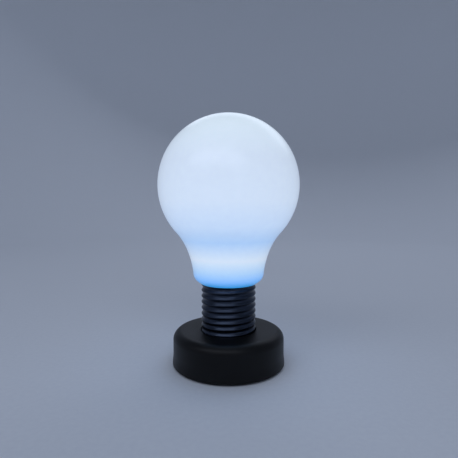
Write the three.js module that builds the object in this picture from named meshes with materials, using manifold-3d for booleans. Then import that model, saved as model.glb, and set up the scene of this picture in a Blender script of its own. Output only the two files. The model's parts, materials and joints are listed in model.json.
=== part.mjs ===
// A bulb-shaped table lamp: a milky diffuser on a threaded neck that stands in a round black base.
// Pressing the bulb slides the neck 2 mm into the base and works a push switch. The base holds three
// AAA cells under a hinged door, and a sliding mode switch at its back. Millimetres, +Z up, with the
// origin under the middle of the feet. -Y is the front.
import * as THREE from "three";
import { mergeVertices } from "three/addons/utils/BufferGeometryUtils.js";
import Module from "manifold-3d";

const wasm = await Module();
wasm.setup();

// ---------------------------------------------------------------- driving dimensions
// Clearances
const seatGap = 0.1; // between two faces that rest on each other
const fitGap = 0.3; // round a piece that sits in a recess or on a boss
const slideGap = 0.35; // round a piece that slides

// Diffuser
const globeRadius = 47.5;
const diffuserWall = 1.5;
const throatAngle = THREE.MathUtils.degToRad(42); // below the equator, where the globe meets the throat
const throatHeight = 27.1;
const throatUpperPull = 8;
const throatLowerPull = 12;
const lipRound = 5.2; // how far the rounded lower end swells out from the lip's face
const lipPull = { r: 1.6, z: 1.2, upper: 2.8 }; // where the rounded end's curve is drawn towards
const collarLean = 0.14; // outward lean of the throat's lower end
const lowerEndHeight = 7.6;
const lipFace = 1.4; // flat ring under the diffuser, round its mouth

// Neck
const neckLength = 32; // seen between the base and the diffuser
const threadPitch = 4;
const threadDepth = 0.9;
const threadCrestRadius = 18.65;
const threadStart = 1.2; // height, past a whole number of pitches, of the crest that faces +X
const neckWall = 1.95; // under the thread's root
const spigotWall = 1.4;
const spigotHeight = 5;
const snapBead = 0.5;
const flangeWidth = 3.35; // beyond the thread's crest
const flangeThickness = 2.4;
const pressTravel = 2;
const keyPinRadius = 1.5;
const floorThickness = 1.6;
const floorScrewInset = 4.6; // from the neck's bore, as each inset below
const boardScrewInset = 3.6;
const innerBossRadius = 2.4;
const innerBossHeight = 6;

// Light source and control board in the neck
const ledBoardThickness = 1.2;
const ledCount = 8;
const ledInset = 4.8;
const ledSize = { x: 3.5, y: 2.8, z: 0.8 };
const reflectorHeight = 3;
const reflectorFlare = 2.4;
const reflectorWall = 0.6;
const controlBoardThickness = 1.2;
const controlBoardInset = 3.8;
const controlBoardLift = 4.6; // above the neck's floor
const driverChip = { x: 5, y: 1.5, z: 4 };
const inductor = { radius: 3.6, height: 4.2 };
const capacitor = { radius: 3.1, height: 9, drop: 3 }; // drop below the LED board
const leadSocket = { x: 7.4, y: 4.2, z: 6 };
const lead = { radius: 0.65, spread: 1, slack: 2.2 };
const leadHoleRadius = 2.9;
const leadHoleInset = 7.6;
const radioBoard = { x: 11, y: 0.9, z: 24 };
const radioCan = { x: 9, y: 1.6, z: 10, lift: 1.2 };
const antennaHeight = 7; // of the radio board above the LED board

// Base
const footHeight = 1;
const footRadius = 3.8;
const plateThickness = 1.8;
const doorThickness = 1.4;
const latch = { x: 12, y: 5, slot: 0.8 };
const scoop = { radius: 3, x: 8, depth: 0.8 }; // for a fingertip, in the door's free end
const trayWall = 1.2;
const partition = 0.9;
const shellWall = 2;
const shellTopWall = 2.5;
const shoulderRadius = 6;
const bottomEdge = 0.8;
const skirtFlare = 0.5;
const skirtHeight = 8.5;
const trayToShell = 3.7; // from the tray's corner to the shell
const shellBossRadius = 3;
const plateBossRadius = 3.8;
const bossToFlange = 3.1;
const bossToShell = 1;
const plateBossHeight = 1.4;
const plateScrewAngle = THREE.MathUtils.degToRad(15);
const footAngle = THREE.MathUtils.degToRad(35);
const ballastThickness = 5;

// Cells and their contacts
const cellRadius = 5.25;
const cellLength = 44.5;
const cellNub = { radius: 1.9, height: 0.8 };
const contactThickness = 0.4;
const contactWidth = 8.6;
const contactBump = 0.6;
const contactSpringLength = 3.8;
const contactCoil = { wire: 0.3, foot: 3.4, tip: 2, turns: 3 }; // radii
const cellCrimp = 0.5; // bevel of the cell's two ends

// Switches in the base
const boardThickness = 1;
const boardMargin = 0.25; // of the base board outside the return spring
const springInset = 1.6; // from the neck's bore
const pushSwitch = { side: 12, height: 4.6, plungerRadius: 2.6, proud: 0.9 };
const springWire = 0.55; // radius
const springTurns = 4;
const stopHeight = 2.2;
const stopRadius = 1.5;
const stopAngle = THREE.MathUtils.degToRad(60);
const knobTravel = 4;
const knob = { x: 5.5, z: 2.6, depth: 2.6, proud: 0.7, groove: 0.6 };
const modeSwitch = { x: 9, y: 4.6, z: 4.4 };

// Screws
const screw = { shank: 1.1, head: 2, headHeight: 1.5 };
const pilotGap = 0.3;

const overlap = 0.2; // how far solids that are joined into one run into each other

// How finely round things are cut
const coarse = 10;
const medium = 20;
const fine = 36;
const finest = 90; // the base plate, whose round edge shows

// ---------------------------------------------------------------- heights, worked out from the bottom up
const plateBottomZ = footHeight;
const plateTopZ = plateBottomZ + plateThickness;
const doorTopZ = plateBottomZ + doorThickness;
const cellAxisZ = doorTopZ + fitGap + cellRadius;
const roofBottomZ = cellAxisZ + cellRadius + fitGap;
const trayTopZ = roofBottomZ + trayWall;
const stopTopZ = trayTopZ + stopHeight;
const flangeBottomZ = stopTopZ + seatGap + pressTravel;
const flangeTopZ = flangeBottomZ + flangeThickness;
const shellInnerTopZ = flangeTopZ + seatGap;
const shellTopZ = shellInnerTopZ + shellTopWall;
const neckTopZ = shellTopZ + neckLength;
const collarZ = neckTopZ + lowerEndHeight;
const throatTopZ = collarZ + throatHeight;
const globeCentreZ = throatTopZ + globeRadius * Math.sin(throatAngle);
const spigotTopZ = neckTopZ + spigotHeight;
const ledBoardZ = spigotTopZ - ledBoardThickness;
const boardZ = trayTopZ + seatGap;
const boardTopZ = boardZ + boardThickness;
const pushBodyZ = boardTopZ + seatGap;
const pushBodyTopZ = pushBodyZ + pushSwitch.height;
const plungerTopZ = pushBodyTopZ + pressTravel + pushSwitch.proud;
const floorZ = plungerTopZ + seatGap;
const floorTopZ = floorZ + floorThickness;

// ---------------------------------------------------------------- widths, worked out from the cells outwards
const threadRootRadius = threadCrestRadius - threadDepth;
const sleeveBore = threadRootRadius - neckWall;
const spigotRadius = sleeveBore + spigotWall;
const mouthRadius = spigotRadius + fitGap;
const collarRadius = mouthRadius + lipFace + lipRound; // where the throat meets the lower end
const springRadius = sleeveBore - springInset;
const controlBoardWidth = 2 * (sleeveBore - controlBoardInset);
const controlFace = controlBoardThickness / 2 + seatGap; // where the board's parts sit, on either side
const neckHoleRadius = threadCrestRadius + slideGap;
const flangeRadius = threadCrestRadius + flangeWidth;
const keyPinCircle = neckHoleRadius + keyPinRadius + slideGap;
const cellPitch = 2 * cellRadius + 2 * fitGap + partition;
const trayHalfWidth = cellPitch + cellRadius + fitGap; // inside
const bayLength =
  cellLength + contactSpringLength + contactBump + 2 * contactThickness + 4 * seatGap;
const trayHalfLength = bayLength / 2; // inside
const trayOuterX = trayHalfWidth + trayWall;
const trayOuterY = trayHalfLength + trayWall;
const bossCircle = flangeRadius + bossToFlange + shellBossRadius;
const shellInnerRadius = Math.max(
  Math.hypot(trayOuterX, trayOuterY) + trayToShell,
  bossCircle + shellBossRadius + bossToShell,
);
const shellRadius = shellInnerRadius + shellWall;
const plateRadius = shellInnerRadius - fitGap;
const footCircle = plateRadius - footRadius - 2 * fitGap;
const doorHalf = { x: trayHalfWidth - fitGap, y: trayHalfLength - fitGap };
const windowInnerY = shellInnerRadius - shellWall; // the flat pad behind the mode switch's window
const baseBoardHalfWidth = springRadius + springWire + boardMargin;
const knobZ = boardZ - seatGap - modeSwitch.z / 2;

// ---------------------------------------------------------------- helpers
function solidOf(geometry) {
  const bare = (geometry.index ? geometry.toNonIndexed() : geometry).clone();
  bare.deleteAttribute("normal");
  bare.deleteAttribute("uv");
  const merged = mergeVertices(bare, 1e-4);
  return new wasm.Manifold(
    new wasm.Mesh({
      numProp: 3,
      vertProperties: merged.attributes.position.array,
      triVerts: new Uint32Array(merged.index.array),
    }),
  );
}

function geometryOf(solid) {
  const { vertProperties, triVerts } = solid.getMesh();
  return new THREE.BufferGeometry()
    .setAttribute("position", new THREE.BufferAttribute(vertProperties, 3))
    .setIndex(new THREE.BufferAttribute(triVerts, 1));
}

// A box by its lowest and highest corners.
function box(x0, y0, z0, x1, y1, z1) {
  const geometry = new THREE.BoxGeometry(x1 - x0, y1 - y0, z1 - z0);
  return solidOf(geometry.translate((x0 + x1) / 2, (y0 + y1) / 2, (z0 + z1) / 2));
}

// A box centred on x and y, from one height to another.
const slab = (width, depth, z0, z1, x = 0, y = 0) =>
  box(x - width / 2, y - depth / 2, z0, x + width / 2, y + depth / 2, z1);

function cylinder(radius, z0, z1, x = 0, y = 0, sides = medium) {
  const geometry = new THREE.CylinderGeometry(radius, radius, z1 - z0, sides);
  return solidOf(geometry.rotateX(Math.PI / 2).translate(x, y, (z0 + z1) / 2));
}

// Turns [radius, height] points round Z. They run down the inside and up the outside.
function turnedGeometry(points, sides) {
  const outline = points.map(([radius, z]) => new THREE.Vector2(radius, z));
  return new THREE.LatheGeometry(outline, sides).rotateX(Math.PI / 2);
}

const turned = (points, sides = fine) => solidOf(turnedGeometry(points, sides));

// A ring of rectangular section.
function ring(inner, outer, z0, z1, sides = fine) {
  return turned([[inner, z1], [inner, z0], [outer, z0], [outer, z1], [inner, z1]], sides);
}

// Points of a quarter round from one angle to another, as [radius, height].
function arc(centreR, centreZ, radius, fromAngle, toAngle, steps) {
  return Array.from({ length: steps + 1 }, (_, i) => {
    const angle = fromAngle + ((toAngle - fromAngle) * i) / steps;
    return [centreR + radius * Math.cos(angle), centreZ + radius * Math.sin(angle)];
  });
}

function bezier(p0, p1, p2, p3, steps) {
  const curve = new THREE.CubicBezierCurve(
    ...[p0, p1, p2, p3].map(([r, z]) => new THREE.Vector2(r, z)),
  );
  return curve.getPoints(steps).map((p) => [p.x, p.y]);
}

// A round wire along a curve.
function wire(curve, radius, steps, sides = 6) {
  const section = new THREE.Shape();
  for (let i = 0; i < sides; i++) {
    const angle = (2 * Math.PI * i) / sides;
    section[i ? "lineTo" : "moveTo"](radius * Math.cos(angle), radius * Math.sin(angle));
  }
  section.closePath();
  return solidOf(new THREE.ExtrudeGeometry(section, { steps, extrudePath: curve, bevelEnabled: false }));
}

// A helix round Z, whose radius may change along it.
class Helix extends THREE.Curve {
  constructor(z0, z1, r0, r1, turns) {
    super();
    Object.assign(this, { z0, z1, r0, r1, turns });
  }
  getPoint(t, target = new THREE.Vector3()) {
    const radius = this.r0 + (this.r1 - this.r0) * t;
    const angle = 2 * Math.PI * this.turns * t;
    const z = this.z0 + (this.z1 - this.z0) * t;
    return target.set(radius * Math.cos(angle), radius * Math.sin(angle), z);
  }
}

// Places round Z: [x, y] at these angles.
const round = (circle, angles) =>
  angles.map((angle) => [circle * Math.cos(angle), circle * Math.sin(angle)]);

const union = (first, ...rest) => rest.reduce((whole, next) => whole.add(next), first);
const cut = (whole, ...tools) => tools.reduce((left, tool) => left.subtract(tool), whole);

// ---------------------------------------------------------------- materials
const material = (color, roughness, metalness = 0) =>
  new THREE.MeshStandardMaterial({ color, roughness, metalness });
const milkyPlastic = material("#d3e3fa", 0.35);
const metallisedPlastic = material("#8d9298", 0.35, 0.9);
const blackPlastic = material("#0b0b0d", 0.38);
const rubber = material("#1a1a1c", 0.9);
const steel = material("#9a9da1", 0.4, 1);
const nickel = material("#c9c6bd", 0.3, 1);
const whitePlastic = material("#f1f2f0", 0.5);
const circuitBoard = material("#1e5a36", 0.5);
const whiteBoard = material("#eceee8", 0.45);
const cellJacket = material("#2b4f8a", 0.35);
const component = material("#1c1c1e", 0.55);
const phosphor = material("#f2dd7a", 0.4);
const redInsulation = material("#b3221f", 0.5);
const blackInsulation = material("#17171a", 0.5);

const lamp = new THREE.Group();

function add(name, solid, look) {
  const mesh = new THREE.Mesh(geometryOf(solid), look);
  mesh.name = name;
  lamp.add(mesh);
  return mesh;
}

// ---------------------------------------------------------------- diffuser
// One shell: a globe, a throat and a rounded lower end whose mouth snaps over the neck's spigot.
function diffuserOutline(detail) {
  const lower = bezier(
    [mouthRadius + lipFace, neckTopZ],
    [mouthRadius + lipFace + lipPull.r, neckTopZ + lipPull.z],
    [collarRadius, neckTopZ + lipPull.upper],
    [collarRadius, collarZ],
    4 * detail,
  );
  const globeEdge = [globeRadius * Math.cos(throatAngle), throatTopZ];
  const throat = bezier(
    [collarRadius, collarZ],
    [collarRadius + throatLowerPull * collarLean, collarZ + throatLowerPull],
    [
      globeEdge[0] - throatUpperPull * Math.sin(throatAngle),
      globeEdge[1] - throatUpperPull * Math.cos(throatAngle),
    ],
    globeEdge,
    4 * detail,
  );
  const globe = arc(0, globeCentreZ, globeRadius, -throatAngle, Math.PI / 2, 8 * detail);
  return [...lower, ...throat.slice(1), ...globe.slice(1)];
}

// The same outline moved inwards by the wall, point by point.
function inset(outline, wall) {
  return outline.map(([r, z], i) => {
    const [r0, z0] = outline[Math.max(i - 1, 0)];
    const [r1, z1] = outline[Math.min(i + 1, outline.length - 1)];
    const length = Math.hypot(r1 - r0, z1 - z0);
    return [r - (wall * (z1 - z0)) / length, z + (wall * (r1 - r0)) / length];
  });
}

function makeDiffuser() {
  const outside = diffuserOutline(2);
  const apex = globeCentreZ + globeRadius;
  const inside = inset(diffuserOutline(1), diffuserWall).slice(0, -1).reverse();
  return turned([
    [0, apex - diffuserWall],
    ...inside,
    [mouthRadius, neckTopZ + diffuserWall],
    [mouthRadius, neckTopZ],
    ...outside.slice(0, -1),
    [0, apex],
  ]);
}

add("diffuser", makeDiffuser(), milkyPlastic);

// ---------------------------------------------------------------- threaded neck
// A turned tube whose outer wall is raised into a right-hand round thread.
function makeThreadedTube() {
  const rowsPerPitch = 5;
  const sides = 28;
  const bottom = flangeTopZ - overlap;
  const length = neckTopZ - bottom;
  const rows = Math.round((length / threadPitch) * rowsPerPitch);
  const wall = Array.from({ length: rows + 1 }, (_, i) => [threadRootRadius, bottom + (length * i) / rows]);
  const geometry = turnedGeometry(
    [[sleeveBore, neckTopZ], [sleeveBore, bottom], ...wall, [sleeveBore, neckTopZ]],
    sides,
  );
  const position = geometry.attributes.position;
  for (let i = 0; i < position.count; i++) {
    const [x, y, z] = [position.getX(i), position.getY(i), position.getZ(i)];
    const radius = Math.hypot(x, y);
    if (radius < (sleeveBore + threadRootRadius) / 2) continue;
    const phase = (z - threadStart) / threadPitch - Math.atan2(y, x) / (2 * Math.PI);
    const runOut = Math.min(1, (4 * Math.min(neckTopZ - z, z - bottom)) / threadPitch);
    const raised = radius + threadDepth * runOut * (0.5 + 0.5 * Math.cos(2 * Math.PI * phase));
    position.setXY(i, (x / radius) * raised, (y / radius) * raised);
  }
  return solidOf(geometry);
}

const floorScrews = round(sleeveBore - floorScrewInset, [90, 210, 330].map(THREE.MathUtils.degToRad));
const boardScrews = round(sleeveBore - boardScrewInset, [90, 270].map(THREE.MathUtils.degToRad));

// A screw boss on the inside of the neck, with a rib that joins it to the wall.
function innerBoss([x, y], z0, z1) {
  const angle = Math.atan2(y, x);
  const circle = Math.hypot(x, y);
  const ribHalf = 1;
  const reach = (sleeveBore + threadRootRadius) / 2;
  const rib = box(circle, -ribHalf, z0, reach, ribHalf, z1).rotate([0, 0, THREE.MathUtils.radToDeg(angle)]);
  const pilot = cylinder(screw.shank + pilotGap, z0 - 1, z1 + 1, x, y, coarse);
  return cut(union(cylinder(innerBossRadius, z0, z1, x, y, coarse), rib), pilot);
}

function makeSleeve() {
  const flange = ring(sleeveBore, flangeRadius, flangeBottomZ, flangeTopZ);
  const beadZ = neckTopZ + diffuserWall + seatGap;
  const beadRadius = mouthRadius + snapBead;
  const spigot = turned([
    [sleeveBore, spigotTopZ],
    [sleeveBore, neckTopZ - overlap],
    [spigotRadius, neckTopZ - overlap],
    [spigotRadius, beadZ],
    [beadRadius, beadZ + snapBead],
    [spigotRadius, beadZ + 3 * snapBead],
    [spigotRadius, spigotTopZ],
    [sleeveBore, spigotTopZ],
  ]);
  const keyways = [-1, 1].map((side) =>
    cylinder(keyPinRadius + slideGap, flangeBottomZ - 1, flangeTopZ + 1, 0, side * keyPinCircle, coarse),
  );
  const bosses = [
    ...floorScrews.map((place) => innerBoss(place, floorTopZ + seatGap, floorTopZ + innerBossHeight)),
    ...boardScrews.map((place) =>
      innerBoss(place, ledBoardZ - seatGap - innerBossHeight, ledBoardZ - seatGap),
    ),
  ];
  return union(cut(flange, ...keyways), makeThreadedTube(), spigot, ...bosses);
}

add("thread_sleeve", makeSleeve(), metallisedPlastic);

// The disc that closes the neck's lower end and presses on the switch.
const leadHole = { x: sleeveBore - leadHoleInset, y: controlFace + leadSocket.y / 2 };
add(
  "sleeve_floor",
  cut(
    cylinder(sleeveBore - fitGap, floorZ, floorTopZ, 0, 0, fine),
    cylinder(leadHoleRadius, floorZ - 1, floorTopZ + 1, leadHole.x, leadHole.y, coarse),
    ...floorScrews.map(([x, y]) => cylinder(screw.shank + pilotGap, floorZ - 1, floorTopZ + 1, x, y, coarse)),
  ),
  whitePlastic,
);

// A pan-head screw whose head's seat is at this height. It points up or down.
function makeScrew(seatZ, direction, shank) {
  const outline = [
    [0, 0],
    [screw.head, 0],
    [screw.head, -screw.headHeight * 0.6],
    [screw.head * 0.6, -screw.headHeight],
    [0, -screw.headHeight],
  ];
  const head = turned(outline.reverse(), coarse);
  const whole = union(head, cylinder(screw.shank, -0.1, shank, 0, 0, coarse));
  return (direction > 0 ? whole : whole.rotate([180, 0, 0])).translate([0, 0, seatZ]);
}

floorScrews.forEach(([x, y], i) => {
  const made = makeScrew(floorZ - seatGap, 1, floorThickness + innerBossHeight - 1);
  add(`floor_screw_${i + 1}`, made.translate([x, y, 0]), steel);
});

// ---------------------------------------------------------------- light source
const radioY = -(controlBoardThickness / 2 + seatGap + radioBoard.y / 2);
add(
  "led_board",
  cut(
    cylinder(sleeveBore - fitGap, ledBoardZ, spigotTopZ, 0, 0, fine),
    slab(radioBoard.x + 4 * fitGap, radioBoard.y + 2 * fitGap, ledBoardZ - 1, spigotTopZ + 1, 0, radioY),
    ...boardScrews.map(([x, y]) =>
      cylinder(screw.shank + pilotGap, ledBoardZ - 1, spigotTopZ + 1, x, y, coarse),
    ),
  ),
  whiteBoard,
);

boardScrews.forEach(([x, y], i) => {
  const made = makeScrew(spigotTopZ + seatGap, -1, ledBoardThickness + innerBossHeight - 1);
  add(`board_screw_${i + 1}`, made.translate([x, y, 0]), steel);
});

// White and colour LEDs take turns round the board, clear of its two screws.
for (let i = 0; i < ledCount; i++) {
  const angle = (360 * (i + 0.5)) / ledCount;
  const z0 = spigotTopZ + seatGap;
  const chip = slab(ledSize.y, ledSize.x, z0, z0 + ledSize.z, sleeveBore - ledInset, 0).rotate([0, 0, angle]);
  const kind = i % 2 ? "colour" : "white";
  add(`led_${kind}_${Math.floor(i / 2) + 1}`, chip, phosphor);
}

// A flared white ring on the board's rim, which sends the light up past the rounded lower end.
function makeReflector() {
  const z0 = spigotTopZ + seatGap;
  const inner = sleeveBore - fitGap - 2 * reflectorWall;
  const outline = [
    [inner + reflectorFlare, z0 + reflectorHeight],
    [inner, z0],
    [inner + reflectorWall, z0],
    [inner + reflectorWall + reflectorFlare, z0 + reflectorHeight],
  ];
  return turned([...outline, outline[0]]);
}

add("reflector", makeReflector(), whitePlastic);

// ---------------------------------------------------------------- control electronics in the neck
const controlTopZ = ledBoardZ - seatGap;
const controlZ = floorTopZ + controlBoardLift;
add("control_board", slab(controlBoardWidth, controlBoardThickness, controlZ, controlTopZ), circuitBoard);

const radioTopZ = spigotTopZ + antennaHeight;
const radioZ = radioTopZ - radioBoard.z;
add("radio_module", slab(radioBoard.x, radioBoard.y, radioZ, radioTopZ, 0, radioY), circuitBoard);

const radioCanZ = radioZ + radioCan.lift;
const radioCanY = radioY - radioBoard.y / 2 - seatGap - radioCan.y / 2;
add(
  "radio_shield",
  slab(radioCan.x, radioCan.y, radioCanZ, radioCanZ + radioCan.z, 0, radioCanY),
  nickel,
);

// A part that stands on the control board: a box on its +Y side (side 1) or -Y side (side -1).
function onControlBoard(size, x, z, side) {
  const y = side * (controlFace + size.y / 2);
  return slab(size.x, size.y, z - size.z / 2, z + size.z / 2, x, y);
}

const lyingDrum = (radius, height, x, z) =>
  cylinder(radius, 0, height, 0, 0, medium).rotate([-90, 0, 0]).translate([x, controlFace, z]);

const socketZ = controlZ + 1 + leadSocket.z / 2;
add("driver_chip", onControlBoard(driverChip, 1, controlZ + 6, -1), component);
add("boost_inductor", lyingDrum(inductor.radius, inductor.height, -6, controlZ + 12), component);
add(
  "smoothing_capacitor",
  cylinder(
    capacitor.radius,
    controlTopZ - capacitor.drop - capacitor.height,
    controlTopZ - capacitor.drop,
    controlBoardWidth / 2 - capacitor.radius - 4.4,
    controlFace + capacitor.radius,
    medium,
  ),
  component,
);
add("lead_socket", onControlBoard(leadSocket, leadHole.x, socketZ, 1), whitePlastic);

// Two leads run from the base's board through the floor to the socket, with slack for the press.
for (const [name, side, look] of [
  ["supply_lead_red", -1, redInsulation],
  ["supply_lead_black", 1, blackInsulation],
]) {
  const x = leadHole.x + side * lead.spread;
  const bottom = boardTopZ + seatGap;
  const top = socketZ - leadSocket.z / 2 - seatGap;
  const path = new THREE.CatmullRomCurve3([
    new THREE.Vector3(x, leadHole.y, bottom),
    new THREE.Vector3(x, leadHole.y + 0.2 * lead.slack, bottom + 2),
    new THREE.Vector3(x + 0.4, leadHole.y + lead.slack, bottom + 4),
    new THREE.Vector3(x, leadHole.y + 0.1 * lead.slack, floorZ - 1),
    new THREE.Vector3(x, leadHole.y, floorTopZ + 1),
    new THREE.Vector3(x, leadHole.y, top),
  ]);
  add(name, wire(path, lead.radius, 20, 6), look);
}

// ---------------------------------------------------------------- base shell
// A turned cover, open below, with a rounded shoulder and a skirt that flares a little to the table.
function shellOutline() {
  const skirtRadius = shellRadius + skirtFlare;
  const inner = Math.max(shoulderRadius - shellWall, 1);
  const innerShoulder = arc(
    shellInnerRadius - inner,
    shellInnerTopZ - inner,
    inner,
    Math.PI / 2,
    0,
    3,
  );
  const edge = arc(skirtRadius - bottomEdge, plateBottomZ + bottomEdge, bottomEdge, -Math.PI / 2, 0, 2);
  const shoulder = arc(
    shellRadius - shoulderRadius,
    shellTopZ - shoulderRadius,
    shoulderRadius,
    0,
    Math.PI / 2,
    6,
  );
  const holeChamfer = 0.4;
  return [
    [neckHoleRadius, shellTopZ - holeChamfer],
    [neckHoleRadius, shellInnerTopZ],
    ...innerShoulder,
    [shellInnerRadius, plateBottomZ],
    ...edge,
    [shellRadius, plateBottomZ + skirtHeight],
    ...shoulder,
    [neckHoleRadius + holeChamfer, shellTopZ],
    [neckHoleRadius, shellTopZ - holeChamfer],
  ];
}

const plateScrewAngles = [plateScrewAngle, -plateScrewAngle].flatMap((a) => [a, Math.PI - a]);
const plateScrews = round(bossCircle, plateScrewAngles);
const plateBossTopZ = plateTopZ + plateBossHeight;
const plateScrewSeatZ = plateTopZ - seatGap;
const plateShank = 9;

const knobHalfTravel = knobTravel / 2;
function makeShell() {
  const bodyOfShell = turned(shellOutline());
  const padTop = boardZ - seatGap;
  const midWall = (shellInnerRadius + shellRadius) / 2;
  const padHalf = modeSwitch.x / 2 + 3;
  const pad = box(-padHalf, windowInnerY, knobZ - modeSwitch.z / 2 - 1, padHalf, midWall, padTop).intersect(
    cylinder(midWall, 0, shellTopZ, 0, 0, fine),
  );
  const windowHalfX = knob.x / 2 + knobHalfTravel + slideGap;
  const windowHalfZ = knob.z / 2 + slideGap;
  const knobWindow = box(
    -windowHalfX,
    windowInnerY - 1,
    knobZ - windowHalfZ,
    windowHalfX,
    shellRadius + 2,
    knobZ + windowHalfZ,
  );
  const bosses = plateScrews.map(([x, y]) =>
    cylinder(shellBossRadius, plateBossTopZ + seatGap, shellInnerTopZ + overlap, x, y, coarse),
  );
  const pilots = plateScrews.map(([x, y]) =>
    cylinder(screw.shank + pilotGap, plateBottomZ, plateScrewSeatZ + plateShank + 1, x, y, coarse),
  );
  const keyPins = [-1, 1].map((side) =>
    cylinder(keyPinRadius, stopTopZ - fitGap, shellInnerTopZ + overlap, 0, side * keyPinCircle, coarse),
  );
  return cut(union(bodyOfShell, pad, ...bosses, ...keyPins), knobWindow, ...pilots);
}

add("base_shell", makeShell(), blackPlastic);

// ---------------------------------------------------------------- base plate with the battery tray
const cellX = [-cellPitch, 0, cellPitch];
const contactY = trayHalfLength - seatGap - contactThickness / 2;
const tail = { x: 2, gap: 0.5 };
const tabX = [-cellPitch / 2, cellPitch / 2];
const doorTab = { x: 4, y: 1.5, z: 0.9, root: 1.2 };

// Posts on the tray's roof that stop the pressed neck. They pass through the base board and locate it.
const stops = round(flangeRadius - stopRadius, [stopAngle, -stopAngle].flatMap((a) => [a, Math.PI - a]));

// A slot for a contact's tail, through whatever lies between two heights.
const tailSlots = (z0, z1) =>
  cellX.flatMap((x) =>
    [-1, 1].map((end) =>
      slab(tail.x + 2 * tail.gap, contactThickness + 2 * tail.gap, z0, z1, x, end * contactY),
    ),
  );

function makePlate() {
  const disc = cylinder(plateRadius, plateBottomZ, plateTopZ, 0, 0, finest);
  const tray = slab(2 * trayOuterX, 2 * trayOuterY, plateTopZ - overlap, trayTopZ);
  const bay = slab(2 * trayHalfWidth, 2 * trayHalfLength, plateBottomZ - 1, roofBottomZ);
  const ribBottomZ = cellAxisZ - cellRadius / 2;
  const ribs = tabX.map((x) =>
    slab(partition, 2 * (trayHalfLength - contactSpringLength), ribBottomZ, roofBottomZ + overlap, x),
  );
  const posts = stops.map(([x, y]) => cylinder(stopRadius, trayTopZ - overlap, stopTopZ, x, y, coarse));
  const bosses = plateScrews.map(([x, y]) =>
    cylinder(plateBossRadius, plateTopZ - overlap, plateBossTopZ, x, y, coarse),
  );
  const holes = plateScrews.flatMap(([x, y]) => [
    cylinder(screw.head + fitGap, plateBottomZ - 1, plateScrewSeatZ + seatGap, x, y, coarse),
    cylinder(screw.shank + pilotGap, plateBottomZ - 1, plateBossTopZ + 1, x, y, coarse),
  ]);
  const tabNotches = tabX.map((x) =>
    box(
      x - doorTab.x / 2 - fitGap,
      -trayHalfLength - doorTab.y - fitGap,
      plateTopZ,
      x + doorTab.x / 2 + fitGap,
      -trayHalfLength + 1,
      plateTopZ + doorTab.z + 3 * fitGap,
    ),
  );
  const shell = cut(union(disc, tray, ...bosses), bay);
  return cut(
    union(shell, ...ribs, ...posts),
    ...holes,
    ...tabNotches,
    ...tailSlots(roofBottomZ - 1, trayTopZ + 1),
  );
}

add("base_plate", makePlate(), blackPlastic);

plateScrews.forEach(([x, y], i) => {
  add(`plate_screw_${i + 1}`, makeScrew(plateScrewSeatZ, 1, plateShank).translate([x, y, 0]), steel);
});

// Steel weights either side of the tray keep the lamp from tipping.
for (const [name, side] of [["ballast_left", -1], ["ballast_right", 1]]) {
  const z0 = plateTopZ + seatGap;
  const near = trayOuterX + 2 * fitGap;
  const disc = cylinder(shellInnerRadius - 2 * fitGap, z0, z0 + ballastThickness, 0, 0, fine);
  const half = box(near, -shellRadius, z0 - 1, shellRadius, shellRadius, z0 + ballastThickness + 1);
  const clear = plateScrews.map(([x, y]) =>
    cylinder(plateBossRadius + fitGap, z0 - 1, z0 + ballastThickness + 1, x, y, coarse),
  );
  const right = cut(disc.intersect(half), ...clear);
  add(name, side > 0 ? right : right.rotate([0, 0, 180]), steel);
}

round(footCircle, [footAngle, -footAngle].flatMap((a) => [a, Math.PI - a])).forEach(([x, y], i) => {
  add(`foot_${i + 1}`, cylinder(footRadius, 0, footHeight - seatGap / 2, x, y, medium), rubber);
});

// ---------------------------------------------------------------- battery door
// It swings on the bottom edge of its front end, where two tabs hook over the plate.
function makeDoor() {
  const leaf = slab(2 * doorHalf.x, 2 * doorHalf.y, plateBottomZ, doorTopZ);
  const tabs = tabX.map((x) => {
    const z0 = plateTopZ + fitGap / 2;
    const z1 = z0 + doorTab.z;
    const y0 = -doorHalf.y - doorTab.y;
    const [x0, x1] = [x - doorTab.x / 2, x + doorTab.x / 2];
    const hook = box(x0, y0, z0, x1, -doorHalf.y + doorTab.root, z1);
    const stem = box(x0, -doorHalf.y, doorTopZ - overlap, x1, -doorHalf.y + doorTab.root, z1);
    return union(hook, stem);
  });
  const slots = [-1, 1].map((side) =>
    slab(
      latch.slot,
      latch.y,
      plateBottomZ - 1,
      doorTopZ + 1,
      side * (latch.x / 2),
      doorHalf.y - latch.y / 2 + 0.5,
    ),
  );
  const fingerScoop = cylinder(scoop.radius, -scoop.x / 2, scoop.x / 2)
    .rotate([0, 90, 0])
    .translate([0, doorHalf.y - 1, plateBottomZ + scoop.depth - scoop.radius]);
  return cut(union(leaf, ...tabs), ...slots, fingerScoop);
}

add("battery_door", makeDoor(), blackPlastic);

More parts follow.
